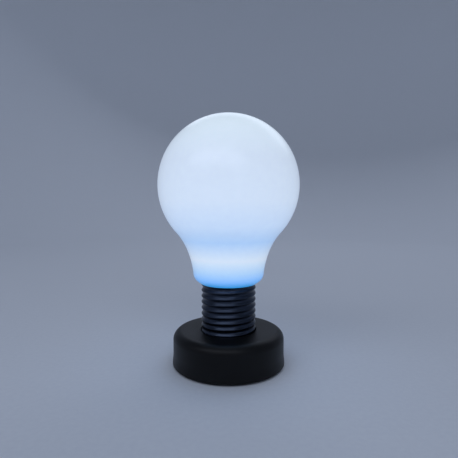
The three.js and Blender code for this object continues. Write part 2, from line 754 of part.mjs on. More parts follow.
// ---------------------------------------------------------------- cells and contacts
// The middle cell lies the other way round, so that the three are in series.
cellX.forEach((x, i) => {
  const end = i % 2 ? -1 : 1; // the end with the positive nub
  const shoulder = cellLength - cellNub.height;
  const outline = [
    [0, cellLength],
    [cellNub.radius, cellLength],
    [cellNub.radius, shoulder],
    [cellRadius - cellCrimp, shoulder],
    [cellRadius, shoulder - cellCrimp],
    [cellRadius, cellCrimp],
    [cellRadius - cellCrimp, 0],
    [0, 0],
  ];
  const tipY = trayHalfLength - contactThickness - contactBump - 2 * seatGap;
  const standing = turned(outline.reverse(), medium);
  const lying = standing.rotate([end > 0 ? -90 : 90, 0, 0]);
  add(`battery_${i + 1}`, lying.translate([x, end * (tipY - cellLength), cellAxisZ]), cellJacket);

  const plate = (y) =>
    union(
      slab(contactWidth, contactThickness, cellAxisZ - cellRadius / 2, roofBottomZ - fitGap, x, y),
      slab(tail.x, contactThickness, roofBottomZ - 1, boardTopZ + 0.3, x, y),
    );
  const bump = cylinder(cellNub.radius, -0.1, contactBump, 0, 0, coarse)
    .rotate([end > 0 ? 90 : -90, 0, 0])
    .translate([x, end * (contactY - contactThickness / 2), cellAxisZ]);
  add(`contact_plate_${i + 1}`, union(plate(end * contactY), bump), nickel);

  const reach = contactSpringLength - contactCoil.wire - seatGap;
  const coil = wire(
    new Helix(0, reach, contactCoil.foot, contactCoil.tip, contactCoil.turns),
    contactCoil.wire,
    27,
    4,
  )
    .rotate([end > 0 ? -90 : 90, 0, 0])
    .translate([x, -end * (contactY - contactThickness / 2), cellAxisZ]);
  add(`contact_spring_${i + 1}`, union(plate(-end * contactY), coil), nickel);
});

// ---------------------------------------------------------------- base board and its switches
const boardEndY = trayOuterY - fitGap;
const modeSwitchY = windowInnerY - seatGap - modeSwitch.y / 2;
add(
  "base_board",
  cut(
    union(
      slab(2 * baseBoardHalfWidth, 2 * boardEndY, boardZ, boardTopZ),
      box(
        -modeSwitch.x / 2 - 2,
        boardEndY - 1,
        boardZ,
        modeSwitch.x / 2 + 2,
        modeSwitchY + modeSwitch.y / 2,
        boardTopZ,
      ),
    ),
    ...tailSlots(boardZ - 1, boardTopZ + 1),
    ...stops.map(([x, y]) => cylinder(stopRadius + fitGap, boardZ - 1, boardTopZ + 1, x, y, coarse)),
  ),
  circuitBoard,
);

add(
  "push_switch",
  cut(
    slab(pushSwitch.side, pushSwitch.side, pushBodyZ, pushBodyTopZ),
    cylinder(pushSwitch.plungerRadius + slideGap, pushBodyZ - 1, pushBodyTopZ + 1),
  ),
  component,
);

add(
  "switch_plunger",
  cylinder(pushSwitch.plungerRadius, pushBodyZ + pressTravel + seatGap, plungerTopZ),
  whitePlastic,
);

add(
  "return_spring",
  wire(
    new Helix(
      boardTopZ + springWire + seatGap,
      floorZ - springWire - seatGap,
      springRadius,
      springRadius,
      springTurns,
    ),
    springWire,
    56,
    5,
  ),
  steel,
);

const lever = { x: 1.6, z: 1.6, depth: 1.6 };
const leverSlotY = windowInnerY - seatGap - lever.depth - slideGap;
add(
  "mode_switch",
  cut(
    slab(modeSwitch.x, modeSwitch.y, knobZ - modeSwitch.z / 2, knobZ + modeSwitch.z / 2, 0, modeSwitchY),
    box(
      -(knobHalfTravel + lever.x / 2 + slideGap),
      leverSlotY,
      knobZ - lever.z / 2 - slideGap,
      knobHalfTravel + lever.x / 2 + slideGap,
      windowInnerY,
      knobZ + lever.z / 2 + slideGap,
    ),
  ),
  component,
);

// The knob stands at the right-hand end of its window, seen from the front, and slides to the left.
function makeKnob() {
  const x = knobHalfTravel;
  const capY = shellRadius + knob.proud;
  const stem = box(
    x - lever.x / 2,
    leverSlotY + slideGap,
    knobZ - lever.z / 2,
    x + lever.x / 2,
    capY - knob.proud / 2,
    knobZ + lever.z / 2,
  );
  const cap = slab(knob.x, knob.depth, knobZ - knob.z / 2, knobZ + knob.z / 2, x, capY - knob.depth / 2);
  const grooves = [-1, 0, 1].map((n) =>
    slab(knob.groove, knob.groove, knobZ - knob.z, knobZ + knob.z, x + (n * knob.x) / 4, capY),
  );
  return cut(union(stem, cap), ...grooves);
}

add("mode_knob", makeKnob(), blackPlastic);

export default lamp;
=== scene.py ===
# %% [markdown]
# # A bulb-shaped smart table lamp
#
# The lamp is a milky globe on a threaded neck, standing in a round black base. Pressing the globe slides
# the neck two millimetres into the base and works a push switch. The CAD model fixes where everything is
# and how it moves. This lesson dresses it: it remakes the visible pieces as fine meshes in exactly the
# places that the CAD gives, and makes a procedural material for every finish.

# %% Load the CAD model as a fixed frame
import json
import math

import bmesh
import bpy
from mathutils import Matrix, Vector
from mathutils.geometry import interpolate_bezier


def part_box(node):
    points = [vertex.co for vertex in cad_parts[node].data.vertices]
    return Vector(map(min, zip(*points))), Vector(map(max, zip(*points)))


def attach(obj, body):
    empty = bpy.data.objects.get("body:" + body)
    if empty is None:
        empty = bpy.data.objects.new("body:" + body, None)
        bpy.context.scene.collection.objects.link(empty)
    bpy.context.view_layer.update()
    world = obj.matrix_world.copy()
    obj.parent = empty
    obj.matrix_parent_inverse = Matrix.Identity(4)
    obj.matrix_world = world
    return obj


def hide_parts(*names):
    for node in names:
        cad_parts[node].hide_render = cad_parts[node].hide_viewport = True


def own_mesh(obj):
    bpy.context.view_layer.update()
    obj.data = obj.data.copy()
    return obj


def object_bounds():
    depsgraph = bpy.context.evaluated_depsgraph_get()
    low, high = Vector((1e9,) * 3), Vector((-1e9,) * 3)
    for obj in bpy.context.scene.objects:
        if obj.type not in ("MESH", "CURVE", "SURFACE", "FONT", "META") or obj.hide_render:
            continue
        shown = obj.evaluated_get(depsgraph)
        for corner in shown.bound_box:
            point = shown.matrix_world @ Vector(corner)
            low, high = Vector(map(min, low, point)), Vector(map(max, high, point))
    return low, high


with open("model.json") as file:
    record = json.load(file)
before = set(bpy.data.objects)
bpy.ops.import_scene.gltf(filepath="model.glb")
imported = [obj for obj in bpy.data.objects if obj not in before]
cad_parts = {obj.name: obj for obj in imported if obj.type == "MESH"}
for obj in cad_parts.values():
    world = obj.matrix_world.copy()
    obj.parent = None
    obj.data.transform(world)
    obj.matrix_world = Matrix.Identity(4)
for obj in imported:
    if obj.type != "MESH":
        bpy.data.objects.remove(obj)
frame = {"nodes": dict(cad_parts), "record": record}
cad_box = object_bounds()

# %% [markdown]
# ## Working in millimetres
#
# Blender's unit is the metre, but a small product is easier to think about in millimetres. Every piece
# is modelled in millimetres in the frame's own coordinates, and the helper that finishes a piece scales
# it down once. Positions are read from the CAD nodes' boxes, so nothing is placed by eye.

# %% Units and places
MM = 0.001


def box_mm(node):
    """The lowest and highest corner of a CAD node, in millimetres."""
    low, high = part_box(node)
    return low / MM, high / MM


lamp_low, lamp_high = (corner / MM for corner in cad_box)
print("the lamp measures", [round(side, 1) for side in lamp_high - lamp_low], "mm")

# %% [markdown]
# ## Material tools
#
# A material is a small tree of nodes. One function adds a node, sets its options and fills its inputs,
# either with a value or with a link from another node. Colours are written as sRGB hex values, as a
# colour picker shows them, and one function turns them into the linear values that the renderer uses.

# %% Helpers for materials
finishes = {}


def linear(hex_colour):
    """An sRGB hex colour as linear red, green, blue and alpha."""
    parts = [int(hex_colour[i : i + 2], 16) / 255 for i in (1, 3, 5)]
    return (*(c / 12.92 if c <= 0.04045 else ((c + 0.055) / 1.055) ** 2.4 for c in parts), 1)


def add(tree, kind, inputs=None, stops=None, **settings):
    """Adds a node with its settings. An input is a value, or the output of another node."""
    node = tree.nodes.new(kind)
    for key, value in settings.items():
        setattr(node, key, value)
    for socket, value in (inputs or {}).items():
        if isinstance(value, bpy.types.NodeSocket):
            tree.links.new(value, node.inputs[socket])
        else:
            node.inputs[socket].default_value = value
    for i, (position, colour) in enumerate(stops or []):
        elements = node.color_ramp.elements
        element = elements[i] if i < len(elements) else elements.new(position)
        element.position = position
        element.color = linear(colour)
    return node


# %% [markdown]
# ## One recipe for a real surface
#
# No real surface is one flat colour. The recipe gives each finish a noise of a real size, in
# millimetres, and lets that one pattern do three jobs: it varies the colour between two hex values,
# varies the roughness between two values, and dents the surface by a real depth. The noise reads Object
# coordinates, so it moves with its piece, and a stretch turns round lumps into brushing or turning
# marks. What is the same all over, such as metallic, stays a plain value on the shader.

# %% The recipe
def make_finish(slot, name, colours, roughness, grain, depth, stretch=(1, 1, 1), **shader):
    """A material for a slot of the record. Grain and depth are in millimetres. Returns its tree and parts."""
    material = bpy.data.materials.new(name)
    material.use_nodes = True
    tree = material.node_tree
    tree.nodes.clear()
    object_place = add(tree, "ShaderNodeTexCoord").outputs["Object"]
    scale = tuple(1 / (MM * grain * side) for side in stretch)
    place = add(tree, "ShaderNodeMapping", {"Vector": object_place, "Scale": scale}).outputs["Vector"]
    noise = add(tree, "ShaderNodeTexNoise", {"Vector": place, "Scale": 1.0, "Detail": 4.0}).outputs["Fac"]
    stops = [(0.3, colours[0]), (0.7, colours[1])]
    colour = add(tree, "ShaderNodeValToRGB", {"Fac": noise}, stops).outputs["Color"]
    rough = add(tree, "ShaderNodeMapRange", {"Value": noise, "To Min": roughness[0], "To Max": roughness[1]})
    dents = add(tree, "ShaderNodeBump", {"Height": noise, "Distance": depth * MM, "Strength": 1.0})
    inputs = {"Base Color": colour, "Roughness": rough.outputs["Result"], "Normal": dents.outputs["Normal"]}
    inputs.update({socket.replace("_", " "): value for socket, value in shader.items()})
    surface = add(tree, "ShaderNodeBsdfPrincipled", inputs)
    add(tree, "ShaderNodeOutputMaterial", {"Surface": surface.outputs["BSDF"]})
    finishes[slot] = material
    return tree, surface, object_place


# %% [markdown]
# ## Plastics, rubber and boards
#
# Moulded black ABS copies the fine spark-eroded grain of its mould, which breaks its gloss into a
# satin sheen. Nylon is waxy and a little uneven. Rubber is nearly matt. The real ABS grain is about
# 0.05 mm, too fine to show at this distance, so it is drawn at 0.35 mm and kept shallow.

# %% Plastics
make_finish(
    "black_abs", "moulded black ABS", ("#050506", "#09090b"), (0.36, 0.48), 0.35, 0.012, IOR=1.53,
    Specular_IOR_Level=0.2,
)
make_finish("white_nylon", "moulded white nylon", ("#e4e6e4", "#f0f1ee"), (0.45, 0.6), 1.2, 0.01, IOR=1.53)
make_finish("foot_rubber", "moulded silicone rubber", ("#1b1b1d", "#262629"), (0.7, 0.9), 0.6, 0.02, IOR=1.43)
make_finish("black_epoxy", "moulded black epoxy", ("#151517", "#202023"), (0.5, 0.65), 0.3, 0.008, IOR=1.55)
make_finish("red_insulation", "extruded red PVC", ("#a01c1a", "#b92a24"), (0.35, 0.5), 1.5, 0.01, IOR=1.54)
make_finish("black_insulation", "extruded black PVC", ("#121214", "#1c1c1f"), (0.35, 0.5), 1.5, 0.01, IOR=1.54)
make_finish("cell_jacket", "printed shrink-film jacket", ("#274a84", "#3158a0"), (0.22, 0.34), 6.0, 0.01, IOR=1.5)
make_finish(
    "white_metal_core_board", "white solder mask on aluminium", ("#e9ebe6", "#f4f5f1"), (0.3, 0.42), 2.0, 0.006,
    IOR=1.5,
)
print(len(finishes), "plastic finishes")

# %% [markdown]
# ## Metals
#
# A metal's colour is its reflection, so metallic is 1 and the default IOR is kept. Zinc plating is
# slightly mottled, nickel plating is bright and even, rolled steel carries faint marks in one
# direction, and spring wire has drawing marks along it.

# %% Metals
METAL = {"Metallic": 1.0}
ALONG_X = (4, 1, 1)
ALONG_Z = (1, 1, 3)
make_finish("plain_steel", "rolled steel weight", ("#6d6f72", "#8c8e90"), (0.35, 0.55), 1.5, 0.01, ALONG_X, **METAL)
make_finish("zinc_plated_steel", "bright zinc plate", ("#a7abb0", "#c3c6c8"), (0.25, 0.42), 0.8, 0.006, **METAL)
make_finish("spring_steel", "drawn spring wire", ("#7f8285", "#a0a2a4"), (0.25, 0.4), 0.5, 0.006, ALONG_Z, **METAL)
make_finish("nickel_plated_steel", "bright nickel plate", ("#bdb8ac", "#d2cec2"), (0.2, 0.32), 1.2, 0.004, **METAL)
make_finish(
    "nickel_silver", "stamped nickel silver", ("#b4b1a6", "#c9c6bb"), (0.25, 0.36), 0.9, 0.004, (3, 1, 1), **METAL
)
print(len(finishes), "finishes so far")

# %% [markdown]
# ## The neck's dark metal
#
# The neck is cast aluminium, turned on a lathe and coloured dark. The lathe leaves fine marks round
# the neck, so the noise is stretched widely round it and is fine along Z. The marks make the light on
# each crest of the thread run out into a long soft line.

# %% Dark turned aluminium
ROUND_Z = (14, 14, 1)
make_finish(
    "cast_aluminium", "dark anodised turned aluminium", ("#2b313c", "#3f4756"), (0.24, 0.38), 0.45, 0.006,
    ROUND_Z, **METAL,
)

# %% [markdown]
# ## The circuit boards
#
# A circuit board is green solder mask over copper tracks. A brick pattern stands for the tracks: its
# joints are straight, evenly spaced lines about half a millimetre wide, a little lighter than the mask
# where copper lies under it. The recipe's own colour is replaced by this pattern.

# %% Solder mask over tracks
board_tree, board_surface, board_place = make_finish(
    "green_circuit_board", "green solder mask over copper", ("#17502f", "#1d5f39"), (0.28, 0.4), 1.5, 0.006,
    IOR=1.5,
)
board_mm = add(board_tree, "ShaderNodeMapping", {"Vector": board_place, "Scale": (1 / MM,) * 3}).outputs["Vector"]
tracks = add(
    board_tree,
    "ShaderNodeTexBrick",
    {
        "Vector": board_mm,
        "Color1": linear("#17502f"),
        "Color2": linear("#1b5a35"),
        "Mortar": linear("#3c8a55"),
        "Scale": 1.0,
        "Mortar Size": 0.22,
        "Brick Width": 6.0,
        "Row Height": 1.6,
    },
)
board_tree.links.new(tracks.outputs["Color"], board_surface.inputs["Base Color"])

# %% [markdown]
# ## The light
#
# The LEDs glow through a dab of yellow phosphor. The diffuser is opal polycarbonate, milky right
# through, so light leaves it evenly and it looks lit all over. Lighting it for real from inside would
# be slow and grainy. Instead its surface gives off light, in a colour that a ramp reads from the
# height. The globe is pale blue-white. The throat, where the wall leans away from the LEDs, is dimmer.
# The collar just above them is bright again, and the rounded lip below them fades into deep blue. A
# clear coat stands for the glossy skin: it lets less light out at a slant, so the globe's rim is darker.

# %% Phosphor and opal polycarbonate
make_finish(
    "led_phosphor", "phosphor over LED dies", ("#efd874", "#f6e48e"), (0.4, 0.5), 0.5, 0.005, IOR=1.5,
    Emission_Color=linear("#dfe9ff"), Emission_Strength=2.0,
)
opal_tree, opal, opal_place = make_finish(
    "opal_polycarbonate", "opal polycarbonate", ("#8f9cae", "#97a4b6"), (0.3, 0.38), 5.0, 0.02, IOR=1.585,
    Specular_IOR_Level=0.0, Coat_Weight=1.0, Coat_Roughness=0.3, Coat_IOR=1.585,
)
glow = [
    (56.5, "#0090dc"),  # underside of the lip
    (60, "#62a4eb"),  # round of the lip
    (66, "#9cc0e4"),  # lower collar
    (74, "#c6d4e2"),  # bright band of the collar
    (86, "#9abbe3"),  # throat
    (96, "#b4c9e4"),  # globe's lower flank
    (112, "#c1cfe0"),  # globe's middle
    (137, "#bfcbd9"),  # shoulder of the globe
    (158, "#c9d7e0"),  # crown
]
GLOW_STRENGTH = 1.04
glow_low, glow_high = (corner.z for corner in box_mm("diffuser"))
height = add(opal_tree, "ShaderNodeSeparateXYZ", {"Vector": opal_place}).outputs["Z"]
share = add(
    opal_tree, "ShaderNodeMapRange", {"Value": height, "From Min": glow_low * MM, "From Max": glow_high * MM}
).outputs["Result"]
stops = [((z - glow_low) / (glow_high - glow_low), colour) for z, colour in glow]
glow_colour = add(opal_tree, "ShaderNodeValToRGB", {"Fac": share}, stops).outputs["Color"]
opal_tree.links.new(glow_colour, opal.inputs["Emission Color"])
opal.inputs["Emission Strength"].default_value = GLOW_STRENGTH
print(len(stops), "heights of glow")

# %% [markdown]
# ## Turned shapes
#
# Nearly every piece of this lamp is round, so the main tool is the spin. A profile is a list of radius
# and height pairs. It becomes a chain of edges that `bmesh.ops.spin` sweeps through a full turn. Points
# on the axis give many copies of one vertex, so doubles are merged, and then the normals are
# recalculated, because a spin doesn't know which side is the outside.

# %% Helpers for turned shapes
MERGE = 0.0005


def turn(profile, steps=96, closed=False):
    """A bmesh of a profile of (radius, z) points, spun round Z. A closed profile makes a ring."""
    bm = bmesh.new()
    verts = [bm.verts.new((radius, 0, z)) for radius, z in profile]
    edges = [bm.edges.new(pair) for pair in zip(verts, verts[1:])]
    if closed:
        edges.append(bm.edges.new((verts[-1], verts[0])))
    bmesh.ops.spin(
        bm, geom=verts + edges, cent=(0, 0, 0), axis=(0, 0, 1), angle=math.tau, steps=steps, use_merge=True
    )
    bmesh.ops.remove_doubles(bm, verts=bm.verts, dist=MERGE)
    bmesh.ops.recalc_face_normals(bm, faces=bm.faces)
    return bm


def arc(centre, radius, start, end, steps):
    """Points of a round from one angle to another, in degrees, as (radius, z)."""
    angles = [math.radians(start + (end - start) * i / steps) for i in range(steps + 1)]
    return [(centre[0] + radius * math.cos(a), centre[1] + radius * math.sin(a)) for a in angles]


def curve(points, steps):
    """Points of a cubic curve through its four control points, as (radius, z)."""
    start, pull_a, pull_b, end = (Vector((r, z, 0)) for r, z in points)
    return [(p.x, p.y) for p in interpolate_bezier(start, pull_a, pull_b, end, steps + 1)]


def join(bm, other):
    """Adds the shape of another bmesh to this one."""
    mesh = bpy.data.meshes.new("joined")
    other.to_mesh(mesh)
    other.free()
    bm.from_mesh(mesh)
    bpy.data.meshes.remove(mesh)


def shift(bm, x=0.0, y=0.0, z=0.0):
    bmesh.ops.translate(bm, vec=(x, y, z), verts=bm.verts)
    return bm


# %% [markdown]
# ## Finishing a piece
#
# One helper turns a bmesh into an object, in the same way for every piece. It scales to metres, gives
# the materials, shades smoothly except across real edges, hides the CAD node that the piece stands for
# and parents the piece to the body that it moves with. It prints the number of faces, and the number of
# open edges, which is zero for a closed solid.

# %% Helper that finishes a piece
body_of = {node: body for body, nodes in frame["record"]["behaviour"]["bodies"].items() for node in nodes}
slot_of = {part["node"]: part["material_slot"] for part in frame["record"]["subparts"]}


def finish_piece(node, bm, sharp=35, trim=None):
    """Makes the object that stands for a CAD node. Edges sharper than this angle, in degrees, stay sharp."""
    bmesh.ops.scale(bm, vec=(MM, MM, MM), verts=bm.verts)
    open_edges = sum(len(edge.link_faces) != 2 for edge in bm.edges)
    mesh = bpy.data.meshes.new(node + "_fine")
    bm.to_mesh(mesh)
    bm.free()
    mesh.shade_smooth()
    mesh.set_sharp_from_angle(angle=math.radians(sharp))
    for slot in [slot_of[node], *([trim] if trim else [])]:
        mesh.materials.append(finishes[slot])
    piece = bpy.data.objects.new(node + "_fine", mesh)
    bpy.context.scene.collection.objects.link(piece)
    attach(piece, body_of[node])
    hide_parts(node)
    print(f"{piece.name}: {len(mesh.polygons)} faces, {open_edges} open edges")
    return piece


# %% [markdown]
# ## The diffuser
#
# The diffuser is blow-moulded in one piece: a globe, a throat that narrows in an S, and a rounded
# lower end with a mouth that snaps over the neck. A sphere could be sculpted into this, but the real
# mould was turned, so one spun profile gives the truest curve. The throat is a cubic curve that leaves
# the globe along its tangent, so no crease shows. A Solidify modifier gives the wall, growing inwards.

# %% Diffuser
diffuser_low, diffuser_high = box_mm("diffuser")
globe_radius = diffuser_high.x
globe_centre = diffuser_high.z - globe_radius
lip_z = diffuser_low.z
THROAT_ANGLE = 42
MOUTH_RADIUS = 17.5
MOUTH_RIM = 1.4
LIP_PULL = (1.6, 1.2, 2.8)
COLLAR = (24.1, 63.6)
COLLAR_PULL = (1.68, 12)
GLOBE_PULL = 8
WALL = 1.5

throat = math.radians(THROAT_ANGLE)
globe_edge = (globe_radius * math.cos(throat), globe_centre - globe_radius * math.sin(throat))
lip_edge = (MOUTH_RADIUS + MOUTH_RIM, lip_z)
lip_pulls = [(lip_edge[0] + LIP_PULL[0], lip_z + LIP_PULL[1]), (COLLAR[0], lip_z + LIP_PULL[2])]
lip_curve = curve([lip_edge, *lip_pulls, COLLAR], 24)
throat_curve = curve(
    [
        COLLAR,
        (COLLAR[0] + COLLAR_PULL[0], COLLAR[1] + COLLAR_PULL[1]),
        (globe_edge[0] - GLOBE_PULL * math.sin(throat), globe_edge[1] - GLOBE_PULL * math.cos(throat)),
        globe_edge,
    ],
    36,
)
globe_curve = arc((0, globe_centre), globe_radius, -THROAT_ANGLE, 90, 90)
profile = [(MOUTH_RADIUS, lip_z), *lip_curve, *throat_curve[1:], *globe_curve[1:]]
diffuser = finish_piece("diffuser", turn(profile, steps=144), sharp=50)
wall = diffuser.modifiers.new("wall", "SOLIDIFY")
wall.thickness = WALL * MM
wall.offset = -1
wall.use_even_offset = True

# %% [markdown]
# ## The threaded neck
#
# The neck carries a round right-hand thread, like a big lamp cap. Spinning with a `dvec` lifts the
# profile a little at each step. When the lift over a full turn equals the thread's pitch, the last
# column meets the first one shifted by one pitch, so the doubles merge and a true screw is left. Two
# planes then trim it to length.

# %% The thread
PITCH = 4.0
ROOT_RADIUS = 17.75
THREAD_DEPTH = 0.9
THREAD_START = 1.2
CREST_SHARPNESS = 1.4
ROWS_PER_PITCH = 16
THREAD_STEPS = 128
THREAD_MERGE = 0.002
FLANGE_HEIGHT = 2.4

sleeve_low, sleeve_high = box_mm("thread_sleeve")
shell_top = box_mm("base_shell")[1].z
flange_top = sleeve_low.z + FLANGE_HEIGHT
thread_top = lip_z - 0.15
pitches = math.ceil((lip_z - flange_top) / PITCH) + 2
thread_floor = THREAD_START + PITCH * math.floor((flange_top - THREAD_START) / PITCH - 1)
neck = bmesh.new()
column = []
for row in range(pitches * ROWS_PER_PITCH + 1):
    turn_share = row / ROWS_PER_PITCH
    wave = (0.5 + 0.5 * math.cos(math.tau * turn_share)) ** CREST_SHARPNESS
    column.append(neck.verts.new((ROOT_RADIUS + THREAD_DEPTH * wave, 0, thread_floor + PITCH * turn_share)))
rungs = [neck.edges.new(pair) for pair in zip(column, column[1:])]
bmesh.ops.spin(
    neck,
    geom=column + rungs,
    cent=(0, 0, 0),
    axis=(0, 0, 1),
    dvec=(0, 0, PITCH / THREAD_STEPS),
    angle=math.tau,
    steps=THREAD_STEPS,
    use_merge=False,
)
bmesh.ops.remove_doubles(neck, verts=neck.verts, dist=THREAD_MERGE)
for z, direction in ((thread_top, 1), (flange_top, -1)):
    bmesh.ops.bisect_plane(
        neck,
        geom=neck.verts[:] + neck.edges[:] + neck.faces[:],
        plane_co=(0, 0, z),
        plane_no=(0, 0, direction),
        clear_outer=True,
    )
bmesh.ops.remove_doubles(neck, verts=neck.verts, dist=THREAD_MERGE)
print(len(neck.faces), "faces in the thread,", pitches - 2, "turns or so")

# %% [markdown]
# ## Carrying the thread on into a whole neck
#
# A tube grows from a loop of edges: extrude the loop, then put the new loop at the next radius and
# height. Above the thread the loop climbs into the spigot, with the bead that the diffuser snaps over,
# turns in at the top and runs down the bore. Below, it steps out into the flange that keeps the neck in
# the base. Where the shell's two key pins pass, the flange's rim is pushed in to make a keyway.

# %% Spigot, bore and flange
def grow(bm, loop, stations):
    """Extrudes a loop of edges through (radius, z) stations. Returns the last loop."""
    for radius, z in stations:
        made = bmesh.ops.extrude_edge_only(bm, edges=loop)["geom"]
        loop = [part for part in made if isinstance(part, bmesh.types.BMEdge)]
        for vert in [part for part in made if isinstance(part, bmesh.types.BMVert)]:
            place = Vector((vert.co.x, vert.co.y)).normalized() * radius
            vert.co = (place.x, place.y, z)
    return loop


BORE_RADIUS = 15.8
SPIGOT_RADIUS = 17.2
BEAD = 0.5
SPIGOT_CHAMFER = 0.2
FLANGE_CHAMFER = 0.3
KEY_PIN_CIRCLE = 20.85
KEYWAY_RADIUS = 1.85

flange_radius = sleeve_high.x
flange_bottom = sleeve_low.z
bead_z = lip_z + WALL + 0.1
rims = [edge for edge in neck.edges if edge.is_boundary]
top_rim = [edge for edge in rims if edge.verts[0].co.z > shell_top]
bottom_rim = [edge for edge in rims if edge.verts[0].co.z < shell_top]
top_stations = [
    (SPIGOT_RADIUS, thread_top),
    (SPIGOT_RADIUS, bead_z),
    (SPIGOT_RADIUS + BEAD, bead_z + BEAD),
    (SPIGOT_RADIUS, bead_z + 3 * BEAD),
    (SPIGOT_RADIUS, sleeve_high.z - SPIGOT_CHAMFER),
    (SPIGOT_RADIUS - SPIGOT_CHAMFER, sleeve_high.z),
    (BORE_RADIUS, sleeve_high.z),
]
bottom_stations = [
    (flange_radius - FLANGE_CHAMFER, flange_top),
    (flange_radius, flange_top - FLANGE_CHAMFER),
    (flange_radius, flange_bottom + FLANGE_CHAMFER),
    (flange_radius - FLANGE_CHAMFER, flange_bottom),
    (BORE_RADIUS, flange_bottom),
]
last_top = grow(neck, top_rim, top_stations)
last_bottom = grow(neck, bottom_rim, bottom_stations)
bmesh.ops.bridge_loops(neck, edges=last_top + last_bottom)
for vert in neck.verts:
    radius = math.hypot(vert.co.x, vert.co.y)
    off_axis = abs(vert.co.x)
    if radius > ROOT_RADIUS + 2 and off_axis < KEYWAY_RADIUS:
        reach = KEY_PIN_CIRCLE - math.sqrt(KEYWAY_RADIUS**2 - off_axis**2)
        vert.co.y = math.copysign(min(abs(vert.co.y), reach), vert.co.y)
bmesh.ops.recalc_face_normals(neck, faces=neck.faces)

# %% [markdown]
# ## Screw bosses
#
# Three bosses low in the bore take the floor's screws, and two high up take the LED board's. Each is a
# short tube with a pilot hole, and a rib ties it to the wall. They are separate closed shapes that run
# into the wall, as a quick drawing of a moulded boss would.

# %% Bosses inside the neck
def boss(radius, bore, low, high):
    """A tube with a bore, standing on the origin."""
    return turn([(bore, low), (radius, low), (radius, high), (bore, high)], steps=24, closed=True)


def spot(circle, angle):
    """A point on a circle round Z, with the angle in degrees."""
    return circle * math.cos(math.radians(angle)), circle * math.sin(math.radians(angle))


LOW_BOSS_CIRCLE = 11.2
HIGH_BOSS_CIRCLE = 12.2
BOSS_RADIUS = 2.4
PILOT_RADIUS = 1.4
BOSS_LENGTH = 6
BOSS_GAP = 0.1
RIB = (2.6, 2)
RIB_REACH = 3.3
floor_top = box_mm("sleeve_floor")[1].z
board_low = box_mm("led_board")[0].z
boss_places = [
    (LOW_BOSS_CIRCLE, angle, floor_top + BOSS_GAP, floor_top + BOSS_LENGTH) for angle in (90, 210, 330)
]
boss_places += [
    (HIGH_BOSS_CIRCLE, angle, board_low - BOSS_LENGTH - BOSS_GAP, board_low - BOSS_GAP) for angle in (90, 270)
]
for circle, angle, low, high in boss_places:
    tube = boss(BOSS_RADIUS, PILOT_RADIUS, low, high)
    x, y = spot(circle, angle)
    join(neck, shift(tube, x, y))
    rib = bmesh.new()
    bmesh.ops.create_cube(rib, size=1)
    bmesh.ops.scale(rib, vec=(*RIB, high - low), verts=rib.verts)
    shift(rib, circle + RIB_REACH, 0, (low + high) / 2)
    round_z = Matrix.Rotation(math.radians(angle), 3, "Z")
    bmesh.ops.rotate(rib, cent=(0, 0, 0), matrix=round_z, verts=rib.verts)
    join(neck, rib)
finish_piece("thread_sleeve", neck, sharp=40)

# %% [markdown]
# ## The base shell
#
# The base is a moulded black cover: a flat top, a rounded shoulder, a nearly upright side and a skirt
# that flares half a millimetre towards the table. It is a closed profile, inside and outside in one
# loop, so the spin gives the wall directly. Moulded edges are never sharp, so every corner of the
# profile has its own small round, which is what catches the light.

# %% Base shell
NECK_HOLE = 19.0
SHOULDER = 6.0
SKIRT_FLARE = 0.5
SKIRT_TOP = 9.5
SKIRT_PULLS = (6, 4.5)
SKIRT_END = 1.8
SHELL_WALL = 2.0
TOP_WALL = 2.5
HOLE_ROUND = 0.6
RIM_ROUND = 0.8
RIM_CHAMFER = 0.2
INNER_ROUND = 4

shell_low, shell_high = box_mm("base_shell")
skirt_radius = shell_high.x
shell_radius = skirt_radius - SKIRT_FLARE
shell_inner = shell_radius - SHELL_WALL
inner_top = shell_high.z - TOP_WALL
skirt_pulls = [(shell_radius, SKIRT_PULLS[0]), (skirt_radius, SKIRT_PULLS[1])]
shell_profile = [
    *arc((NECK_HOLE + HOLE_ROUND, shell_high.z - HOLE_ROUND), HOLE_ROUND, 180, 90, 5),
    *arc((shell_radius - SHOULDER, shell_high.z - SHOULDER), SHOULDER, 90, 0, 20),
    *curve([(shell_radius, SKIRT_TOP), *skirt_pulls, (skirt_radius, SKIRT_END)], 10),
    *arc((skirt_radius - RIM_ROUND, shell_low.z + RIM_ROUND), RIM_ROUND, 0, -90, 6)[1:],
    (shell_inner + RIM_CHAMFER, shell_low.z),
    (shell_inner, shell_low.z + RIM_CHAMFER),
    *arc((shell_inner - INNER_ROUND, inner_top - INNER_ROUND), INNER_ROUND, 0, 90, 8),
    (NECK_HOLE, inner_top),
]
shell = turn(shell_profile, steps=180, closed=True)
print(len(shell.faces), "faces in the plain shell")

# %% [markdown]
# ## A window for the mode knob
#
# The knob slides in a window at the back. Four planes cut the wall's faces along the window's sides,
# the faces inside are deleted from the outer and the inner wall, and `bridge_loops` joins the two holes
# with a tunnel. Only faces near the window are cut, so the rest of the shell keeps its even columns.

# %% Window
knob_low, knob_high = box_mm("mode_knob")
KNOB_TRAVEL = 4.0
SLIDE_GAP = 0.35
WINDOW_HALF = 9
BACK_WALL_Y = 33
WINDOW_BEVEL = 0.25
window_low = Vector((knob_low.x - KNOB_TRAVEL - SLIDE_GAP, knob_low.z - SLIDE_GAP))
window_high = Vector((knob_high.x + SLIDE_GAP, knob_high.z + SLIDE_GAP))


